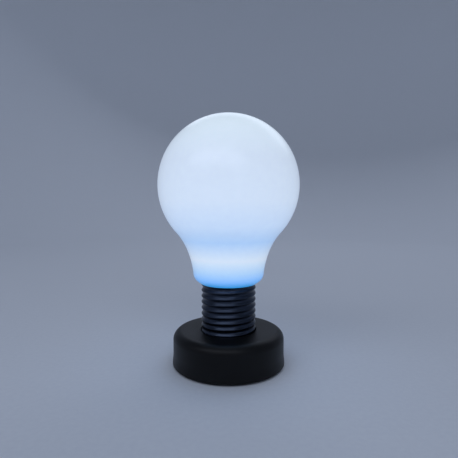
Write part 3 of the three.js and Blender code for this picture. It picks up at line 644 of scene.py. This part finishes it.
def cut_window(bm, low, high, behind):
    """Cuts a window in the faces past y = behind, and joins the holes in the two walls."""
    planes = [((low.x, 0, 0), (1, 0, 0)), ((high.x, 0, 0), (1, 0, 0))]
    planes += [((0, 0, low.y), (0, 0, 1)), ((0, 0, high.y), (0, 0, 1))]
    for place, normal in planes:
        near = []
        for face in bm.faces:
            centre = face.calc_center_median()
            if centre.y > behind and abs(centre.x) < WINDOW_HALF:
                near.append(face)
        edges = {edge for face in near for edge in face.edges}
        verts = {vert for face in near for vert in face.verts}
        bmesh.ops.bisect_plane(bm, geom=[*verts, *edges, *near], plane_co=place, plane_no=normal)
    inside = []
    for face in bm.faces:
        centre = face.calc_center_median()
        upright = abs(face.normal.z) < 0.5 and abs(face.normal.y) > 0.5
        if centre.y > behind and upright and low.x < centre.x < high.x and low.y < centre.z < high.y:
            inside.append(face)
    bmesh.ops.delete(bm, geom=inside, context="FACES")
    holes = [edge for edge in bm.edges if edge.is_boundary]
    bmesh.ops.bridge_loops(bm, edges=holes)
    return len(inside)


print("faces cut out for the window:", cut_window(shell, window_low, window_high, BACK_WALL_Y))
rim = []
for edge in shell.edges:
    middle = (edge.verts[0].co + edge.verts[1].co) / 2
    on_side = min(abs(middle.x - window_low.x), abs(middle.x - window_high.x)) < 0.01
    on_end = min(abs(middle.z - window_low.y), abs(middle.z - window_high.y)) < 0.01
    outside = all(math.hypot(v.co.x, v.co.y) > shell_radius - 0.05 for v in edge.verts)
    in_x = window_low.x - 0.01 < middle.x < window_high.x + 0.01
    in_z = window_low.y - 0.01 < middle.z < window_high.y + 0.01
    if outside and middle.y > 0 and (on_side or on_end) and in_x and in_z:
        rim.append(edge)
bmesh.ops.bevel(
    shell, geom=rim, offset=WINDOW_BEVEL, affect="EDGES", segments=2, profile=0.5, material=-1
)
print(len(rim), "edges round the window bevelled")

# %% [markdown]
# ## Inside the shell
#
# Behind the window a thick pad carries the switch. Four bosses take the screws that hold the base plate,
# and two pins key into the neck's flange, so that the neck slides and doesn't turn.

# %% Pad, bosses and key pins
PAD_HALF = 7.5
PAD_DEPTH = 2.0
PAD_BELOW_KNOB = 1.9
PLATE_SCREW_CIRCLE = 28.1
PLATE_BOSS_RADIUS = 3.0
PLATE_BOSS_FOOT = 4.3
KEY_PIN_FOOT = 16.6
KEY_PIN_RADIUS = 1.5
KEY_PIN_CHAMFER = 0.2
SINK = 0.2
pad_low = knob_low.z - PAD_BELOW_KNOB
pad_top = box_mm("mode_switch")[1].z
pad = bmesh.new()
bmesh.ops.create_cube(pad, size=1)
bmesh.ops.scale(pad, vec=(2 * PAD_HALF, PAD_DEPTH, pad_top - pad_low), verts=pad.verts)
shift(pad, 0, shell_inner - PAD_DEPTH / 2, (pad_low + pad_top) / 2)
clear = Vector((0.1, 0.1))
cut_window(pad, window_low - clear, window_high + clear, BACK_WALL_Y)
bmesh.ops.recalc_face_normals(pad, faces=pad.faces)
join(shell, pad)
for angle in (15, -15, 165, 195):
    x, y = spot(PLATE_SCREW_CIRCLE, angle)
    tube = boss(PLATE_BOSS_RADIUS, PILOT_RADIUS, PLATE_BOSS_FOOT, inner_top + SINK)
    join(shell, shift(tube, x, y))
pin_profile = [
    (0, KEY_PIN_FOOT),
    (KEY_PIN_RADIUS - KEY_PIN_CHAMFER, KEY_PIN_FOOT),
    (KEY_PIN_RADIUS, KEY_PIN_FOOT + KEY_PIN_CHAMFER),
    (KEY_PIN_RADIUS, inner_top + SINK),
    (0, inner_top + SINK),
]
for side in (-1, 1):
    join(shell, shift(turn(pin_profile, 20), 0, side * KEY_PIN_CIRCLE))
finish_piece("base_shell", shell, sharp=40)

# %% [markdown]
# ## The mode knob
#
# A small ribbed knob sits in the window. It starts as a cube with bevelled edges. Planes cut it into
# strips, and every other strip of the outer face is extruded inwards to make the grooves. A square stem
# reaches through the window to the switch.

# %% Mode knob
GROOVE = 0.6
CAP_DEPTH = 2.6
CAP_BEVEL = 0.25
STEM_SIDE = 1.6
STEM_OVERLAP = 0.4
knob_middle = (knob_low + knob_high) / 2
knob_bm = bmesh.new()
bmesh.ops.create_cube(knob_bm, size=1)
size = Vector((knob_high.x - knob_low.x, CAP_DEPTH, knob_high.z - knob_low.z))
bmesh.ops.scale(knob_bm, vec=size, verts=knob_bm.verts)
shift(knob_bm, knob_middle.x, knob_high.y - CAP_DEPTH / 2, knob_middle.z)
bmesh.ops.bevel(
    knob_bm, geom=knob_bm.edges[:], offset=CAP_BEVEL, affect="EDGES", segments=3, profile=0.5, material=-1
)
groove_centres = [knob_middle.x + n * size.x / 4 for n in (-1, 0, 1)]
for centre in groove_centres:
    for side in (-1, 1):
        bmesh.ops.bisect_plane(
            knob_bm,
            geom=knob_bm.verts[:] + knob_bm.edges[:] + knob_bm.faces[:],
            plane_co=(centre + side * GROOVE / 2, 0, 0),
            plane_no=(1, 0, 0),
        )
grooves = [
    face
    for face in knob_bm.faces
    if face.normal.y > 0.2 and any(abs(face.calc_center_median().x - c) < GROOVE / 2 for c in groove_centres)
]
deep = bmesh.ops.extrude_face_region(knob_bm, geom=grooves)["geom"]
bmesh.ops.delete(knob_bm, geom=grooves, context="FACES")
sunk = [part for part in deep if isinstance(part, bmesh.types.BMVert)]
bmesh.ops.translate(knob_bm, vec=(0, -GROOVE / 2, 0), verts=sunk)
stem = bmesh.new()
bmesh.ops.create_cube(stem, size=1)
stem_length = knob_high.y - CAP_DEPTH + STEM_OVERLAP - knob_low.y
bmesh.ops.scale(stem, vec=(STEM_SIDE, stem_length, STEM_SIDE), verts=stem.verts)
join(knob_bm, shift(stem, knob_middle.x, knob_low.y + stem_length / 2, knob_middle.z))
finish_piece("mode_knob", knob_bm, sharp=40)

# %% [markdown]
# ## Feet
#
# Four silicone pads are glued under the plate. Each is a low disc with a soft edge and a shallow dish,
# so that it grips on its rim.

# %% Feet
FOOT_ROUND = 0.35
FOOT_DISH = 0.12
FOOT_RIM = (0.9, 1.3)
for number in range(1, 5):
    foot_low, foot_high = box_mm(f"foot_{number}")
    radius = (foot_high.x - foot_low.x) / 2
    edge = arc((radius - FOOT_ROUND, foot_low.z + FOOT_ROUND), FOOT_ROUND, -90, 0, 5)
    dish_z = foot_low.z + FOOT_DISH
    dish = [(0, dish_z), (radius - FOOT_RIM[1], dish_z), (radius - FOOT_RIM[0], foot_low.z)]
    foot = turn([*dish, *edge, (radius, foot_high.z), (0, foot_high.z)], steps=48)
    middle = (foot_low + foot_high) / 2
    finish_piece(f"foot_{number}", shift(foot, middle.x, middle.y), sharp=50)

# %% [markdown]
# ## Screws
#
# All nine screws are alike: a pan head with a cross recess. The head's profile stops at the recess and
# leaves a hole. The hole's vertices are moved in or out until they lie on a cross: four arms of a
# constant width. That outline is extruded down with a taper, and the bottom is filled.

# %% Screws
HEAD_RADIUS = 2.0
HEAD_HEIGHT = 1.5
SHANK_RADIUS = 1.1
RECESS_REACH = 1.12
RECESS_HALF = 0.22
RECESS_DEPTH = 0.9
RECESS_TAPER = 0.65
POINT = (0.4, 0.8)


def screw(shank):
    """A screw whose head stands on z = 0 and whose shank points down."""
    top = curve([(HEAD_RADIUS, 0.7), (HEAD_RADIUS, 1.15), (1.7, HEAD_HEIGHT), (1.3, HEAD_HEIGHT)], 6)
    point = [(0, -shank), (POINT[0], -shank), (SHANK_RADIUS, POINT[1] - shank)]
    under = [(SHANK_RADIUS, 0), (HEAD_RADIUS, 0)]
    bm = turn([*point, *under, *top, (RECESS_REACH, HEAD_HEIGHT)], steps=32)
    mouth = [edge for edge in bm.edges if edge.is_boundary]
    for vert in {vert for edge in mouth for vert in edge.verts}:
        angle = math.atan2(vert.co.y, vert.co.x) % (math.pi / 2)
        folded = min(angle, math.pi / 2 - angle)
        reach = min(RECESS_REACH, RECESS_HALF / max(math.sin(folded), 1e-6))
        place = Vector((vert.co.x, vert.co.y)).normalized() * reach
        vert.co = (place.x, place.y, HEAD_HEIGHT)
    deeper = bmesh.ops.extrude_edge_only(bm, edges=mouth)["geom"]
    lower = [part for part in deeper if isinstance(part, bmesh.types.BMVert)]
    bmesh.ops.scale(bm, vec=(RECESS_TAPER, RECESS_TAPER, 1), verts=lower)
    bmesh.ops.translate(bm, vec=(0, 0, -RECESS_DEPTH), verts=lower)
    bmesh.ops.holes_fill(bm, edges=[edge for edge in bm.edges if edge.is_boundary])
    bmesh.ops.recalc_face_normals(bm, faces=bm.faces)
    return bm


for node in sorted(slot_of):
    if "_screw_" not in node:
        continue
    screw_low, screw_high = box_mm(node)
    middle = (screw_low + screw_high) / 2
    points_up = not node.startswith("board")
    made = screw(screw_high.z - screw_low.z - HEAD_HEIGHT)
    if points_up:
        turned_over = Matrix.Rotation(math.pi, 3, "X")
        bmesh.ops.rotate(made, cent=(0, 0, 0), matrix=turned_over, verts=made.verts)
        shift(made, middle.x, middle.y, screw_low.z + HEAD_HEIGHT)
    else:
        shift(made, middle.x, middle.y, screw_high.z - HEAD_HEIGHT)
    finish_piece(node, made, sharp=40)

# %% [markdown]
# ## The cells
#
# Three AAA cells lie in the tray, the middle one the other way round. A cell is a can in a printed
# film jacket: the film's edges turn in over the two ends, and the bare nickel shows inside them. The
# profile is turned once, then laid along Y. Faces near the axis at both ends get the nickel.

# %% Cells
CELL_END_RADIUS = 3.4
FILM_RADIUS = 4.2
FILM = 0.2
SMALL_ROUND = 0.25
CELL_ROUND = 0.6
NUB_HEIGHT = 0.8
NUB_RADIUS = 2.0


def cell(radius, length):
    """A cell standing on the origin, with its positive nub up. The second material is for bare metal."""
    shoulder = length - NUB_HEIGHT
    profile = [
        (0, 0.0),
        (CELL_END_RADIUS, 0.0),
        *arc((CELL_END_RADIUS, SMALL_ROUND), SMALL_ROUND, -90, 0, 3)[1:],
        (FILM_RADIUS, 0.3),
        *arc((radius - CELL_ROUND, 0.75), CELL_ROUND, -90, 0, 5),
        *arc((radius - CELL_ROUND, shoulder - CELL_ROUND), CELL_ROUND, 0, 90, 5),
        (FILM_RADIUS, shoulder),
        (FILM_RADIUS, shoulder - FILM),
        (NUB_RADIUS, shoulder - FILM),
        *arc((1.65, length - SMALL_ROUND), SMALL_ROUND, 0, 90, 3),
        (0, length),
    ]
    bm = turn(profile, steps=64)
    for face in bm.faces:
        centre = face.calc_center_median()
        face.material_index = int(math.hypot(centre.x, centre.y) < FILM_RADIUS - 0.05)
    return bm


for number in range(1, 4):
    cell_low, cell_high = box_mm(f"battery_{number}")
    middle = (cell_low + cell_high) / 2
    made = cell((cell_high.x - cell_low.x) / 2, cell_high.y - cell_low.y)
    facing_back = number != 2
    lie_down = Matrix.Rotation(math.radians(-90 if facing_back else 90), 3, "X")
    bmesh.ops.rotate(made, cent=(0, 0, 0), matrix=lie_down, verts=made.verts)
    shift(made, middle.x, cell_low.y if facing_back else cell_high.y, middle.z)
    finish_piece(f"battery_{number}", made, sharp=30, trim="nickel_plated_steel")

# %% [markdown]
# ## The battery door
#
# The door is a thin moulded leaf with rounded corners. It hooks over the plate with two tabs at one
# end. At the other it snaps shut with a springy tongue between two slots, where a scoop takes a
# fingertip. Slots are easiest while the leaf is still flat: a grid is cut by planes, the slots' faces
# are deleted, and only then is it extruded to its thickness, which makes all the walls at once.

# %% Door leaf
door_low, door_high = box_mm("battery_door")
LEAF = 1.4
HINGE_Y = -24.75
TONGUE_HALF = 6.0
SLOT = 0.8
SLOT_LENGTH = 4.5
SCOOP_RADIUS = 3.0
SCOOP_DEPTH = 0.8
SCOOP_HALF = 4.0
SCOOP_ROW = 0.3
DOOR_CORNER = 1.0

door = bmesh.new()
bmesh.ops.create_grid(door, x_segments=1, y_segments=1, size=0.5)
bmesh.ops.scale(door, vec=(door_high.x - door_low.x, door_high.y - HINGE_Y, 1), verts=door.verts)
shift(door, 0, (door_high.y + HINGE_Y) / 2, door_low.z)
bmesh.ops.bevel(
    door, geom=door.verts[:], offset=DOOR_CORNER, affect="VERTICES", segments=6, profile=0.5, material=-1
)
slot_sides = [side * TONGUE_HALF + nudge for side in (-1, 1) for nudge in (-SLOT / 2, SLOT / 2)]
scoop_sides = [side * reach for side in (-1, 1) for reach in (SCOOP_HALF, SCOOP_HALF - 0.1)]
scoop_rows = [door_high.y - SCOOP_ROW * step for step in range(1, 11)]
cuts = [((x, 0, 0), (1, 0, 0)) for x in slot_sides + scoop_sides]
cuts += [((0, y, 0), (0, 1, 0)) for y in [door_high.y - SLOT_LENGTH, *scoop_rows]]
for place, normal in cuts:
    geom = door.verts[:] + door.edges[:] + door.faces[:]
    bmesh.ops.bisect_plane(door, geom=geom, plane_co=place, plane_no=normal)
slots = []
for face in door.faces:
    centre = face.calc_center_median()
    if abs(abs(centre.x) - TONGUE_HALF) < SLOT / 2 and centre.y > door_high.y - SLOT_LENGTH:
        slots.append(face)
bmesh.ops.delete(door, geom=slots, context="FACES")
raised = bmesh.ops.extrude_face_region(door, geom=door.faces[:])["geom"]
upper = [part for part in raised if isinstance(part, bmesh.types.BMVert)]
bmesh.ops.translate(door, vec=(0, 0, LEAF), verts=upper)
bmesh.ops.recalc_face_normals(door, faces=door.faces)
for vert in door.verts:
    across = vert.co.y - (door_high.y - 1)
    if vert.co.z < door_low.z + 0.1 and abs(vert.co.x) < SCOOP_HALF - 0.05 and abs(across) < SCOOP_RADIUS:
        rise = math.sqrt(SCOOP_RADIUS**2 - across**2) - SCOOP_RADIUS + SCOOP_DEPTH
        vert.co.z += max(0.0, rise)
print(len(door.faces), "faces in the leaf")

# %% [markdown]
# ## The door's hinge tabs
#
# Each tab is an L seen from the side: a stem that stands on the leaf and a hook that reaches over the
# plate. The L is drawn as one face and extruded across.

# %% Hinge tabs
TAB_WIDTH = 4.0
TAB_X = 6.0
STEM_DEPTH = 1.2
HOOK_HEIGHT = 0.9
for x in (-TAB_X, TAB_X):
    tab = bmesh.new()
    root_y = HINGE_Y + STEM_DEPTH
    root_z = door_low.z + LEAF - 0.2
    outline = [
        (HINGE_Y, root_z),
        (root_y, root_z),
        (root_y, door_high.z),
        (door_low.y, door_high.z),
        (door_low.y, door_high.z - HOOK_HEIGHT),
        (HINGE_Y, door_high.z - HOOK_HEIGHT),
    ]
    tab.faces.new([tab.verts.new((x - TAB_WIDTH / 2, y, z)) for y, z in outline])
    across = bmesh.ops.extrude_face_region(tab, geom=tab.faces[:])["geom"]
    far = [part for part in across if isinstance(part, bmesh.types.BMVert)]
    bmesh.ops.translate(tab, vec=(TAB_WIDTH, 0, 0), verts=far)
    bmesh.ops.recalc_face_normals(tab, faces=tab.faces)
    join(door, tab)
finish_piece("battery_door", door, sharp=40)

# %% [markdown]
# ## The return spring
#
# A coil spring pushes the neck up again. A small circle is spun round Z for four turns, and a `dvec`
# lifts it as it goes. When the lamp is pressed the real spring shortens; the piece is given its own
# copy of its mesh.

# %% Return spring
spring_low, spring_high = box_mm("return_spring")
WIRE_RADIUS = 0.55
SPRING_TURNS = 4
STEPS_PER_TURN = 40
COIL_RADIUS = 14.2

rise = spring_high.z - spring_low.z - 2 * WIRE_RADIUS
spring = bmesh.new()
bmesh.ops.create_circle(spring, segments=12, radius=WIRE_RADIUS)
upright = Matrix.Rotation(math.pi / 2, 3, "X")
bmesh.ops.rotate(spring, cent=(0, 0, 0), matrix=upright, verts=spring.verts)
shift(spring, COIL_RADIUS, 0, spring_low.z + WIRE_RADIUS)
steps = SPRING_TURNS * STEPS_PER_TURN
bmesh.ops.spin(
    spring,
    geom=spring.verts[:] + spring.edges[:],
    cent=(0, 0, 0),
    axis=(0, 0, 1),
    dvec=(0, 0, rise / steps),
    angle=math.tau * SPRING_TURNS,
    steps=steps,
    use_merge=False,
)
bmesh.ops.holes_fill(spring, edges=[edge for edge in spring.edges if edge.is_boundary])
bmesh.ops.recalc_face_normals(spring, faces=spring.faces)
coil = finish_piece("return_spring", spring, sharp=60)
height = spring_high.z - spring_low.z
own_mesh(coil)

# %% [markdown]
# ## The two supply leads
#
# A red and a black lead run from the base up to the control board, with a bow of slack so that the neck
# can move. A lead is a curve with a round bevel, which Blender turns into a tube. The tube is made a
# mesh, with its own copy of its data.

# %% Supply leads
LEAD_RADIUS = 0.65
LEAD_X = 8.2
LEAD_Y = 2.8
SLACK = 2.2

floor_low = box_mm("sleeve_floor")[0].z
for node, side in (("supply_lead_red", -1), ("supply_lead_black", 1)):
    lead_low, lead_high = box_mm(node)
    x = LEAD_X + side
    route = [
        (x, LEAD_Y, lead_low.z),
        (x, LEAD_Y + 0.2 * SLACK, lead_low.z + 2),
        (x + 0.4, LEAD_Y + SLACK - 0.1, lead_low.z + 4),
        (x, LEAD_Y + 0.1 * SLACK, floor_low - 1),
        (x, LEAD_Y, floor_top + 1),
        (x, LEAD_Y, lead_high.z),
    ]
    line = bpy.data.curves.new(node + "_line", "CURVE")
    line.dimensions = "3D"
    line.bevel_depth = LEAD_RADIUS
    line.bevel_resolution = 3
    line.resolution_u = 8
    line.use_fill_caps = True
    spline = line.splines.new("BEZIER")
    spline.bezier_points.add(len(route) - 1)
    for point, place in zip(spline.bezier_points, route):
        point.co = place
        point.handle_left_type = point.handle_right_type = "AUTO"
    carrier = bpy.data.objects.new(node + "_line", line)
    tube = bmesh.new()
    tube.from_mesh(carrier.to_mesh())
    carrier.to_mesh_clear()
    bpy.data.objects.remove(carrier)
    bmesh.ops.remove_doubles(tube, verts=tube.verts, dist=MERGE)
    bmesh.ops.recalc_face_normals(tube, faces=tube.faces)
    lead = finish_piece(node, tube, sharp=50)
    foot = (0, 0, lead_low.z * MM)
    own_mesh(lead)

# %% [markdown]
# ## Finishes for the pieces kept from the CAD
#
# Flat and boxy pieces, such as the base plate, the boards and the switches, are right as they come.
# Each keeps its CAD shape and takes the finish that the record names for it.

# %% Kept pieces
kept = 0
for node, piece in frame["nodes"].items():
    for material_slot in piece.material_slots:
        material_slot.material = finishes[slot_of[node]]
    kept += not piece.hide_render
print(kept, "CAD pieces kept with new finishes")

# %% [markdown]
# ## The set
#
# The lamp stands on a plain pale floor that curves up into a wall all round, like the paper sweep in a
# photo studio, so there is no horizon behind it from any side. It is one more turned profile.

# %% Floor
FLAT_RADIUS = 900
SWEEP_RADIUS = 700
WALL_TOP = 2200
ramp = arc((FLAT_RADIUS, SWEEP_RADIUS), SWEEP_RADIUS, -90, 0, 24)[1:]
sweep = turn([(0, 0), (FLAT_RADIUS, 0), *ramp, (FLAT_RADIUS + SWEEP_RADIUS, WALL_TOP)], steps=96)
bmesh.ops.reverse_faces(sweep, faces=sweep.faces)
bmesh.ops.scale(sweep, vec=(MM, MM, MM), verts=sweep.verts)
floor_mesh = bpy.data.meshes.new("floor")
sweep.to_mesh(floor_mesh)
sweep.free()
floor_mesh.shade_smooth()
floor = bpy.data.objects.new("floor", floor_mesh)
bpy.context.scene.collection.objects.link(floor)
make_finish("floor", "pale paper", ("#dde1e8", "#e1e5eb"), (0.85, 0.95), 3.0, 0.01)
floor_mesh.materials.append(finishes["floor"])

# %% [markdown]
# ## Light
#
# Soft studio light: a long soft box at the front left, whose reflection runs along the crests of the
# thread, a weaker one behind for an edge, and a dim even sky. It is kept low, because a lamp only looks
# lit when the room is dimmer than the lamp. The colours are written for the Standard view, which shows
# them as they are.

# %% Lights and world
LAMP_MIDDLE = Vector((0, 0, 0.08))
SKY_STRENGTH = 0.22


def light(name, place, width, depth, power):
    """A soft box, which is a rectangle of light that faces the lamp. Places and sizes are in metres."""
    box = bpy.data.lights.new(name, "AREA")
    box.shape = "RECTANGLE"
    box.size = width
    box.size_y = depth
    box.energy = power
    box.color = linear("#e6eeff")[:3]
    holder = bpy.data.objects.new(name, box)
    holder.location = place
    holder.rotation_euler = (LAMP_MIDDLE - Vector(place)).to_track_quat("-Z", "Y").to_euler()
    bpy.context.scene.collection.objects.link(holder)


light("front box", (-0.3, -0.9, 0.95), 2.0, 0.5, 5.0)
light("back box", (0.3, 0.95, 0.9), 1.6, 0.5, 2.5)
world = bpy.data.worlds.new("sky")
world.use_nodes = True
sky = world.node_tree.nodes["Background"]
sky.inputs["Color"].default_value = linear("#dbe6fa")
sky.inputs["Strength"].default_value = SKY_STRENGTH
bpy.context.scene.world = world
bpy.context.scene.view_settings.view_transform = "Standard"

# %% [markdown]
# ## Camera
#
# The camera is close, 27 cm in front of the lamp and a little above its neck, and looks slightly down.
# A lens of about 31 mm from so near gives the base its round, seen-from-above look.

# %% Camera
TILT_DOWN = 0.062
view = bpy.data.cameras.new("camera")
view.lens = 30.77
view.sensor_width = 36
view.clip_start = 0.01
camera = bpy.data.objects.new("camera", view)
camera.location = (0.000293, -0.2668, 0.10944)
camera.rotation_euler = (math.pi / 2 - TILT_DOWN, 0, 0)
bpy.context.scene.collection.objects.link(camera)
bpy.context.scene.camera = camera
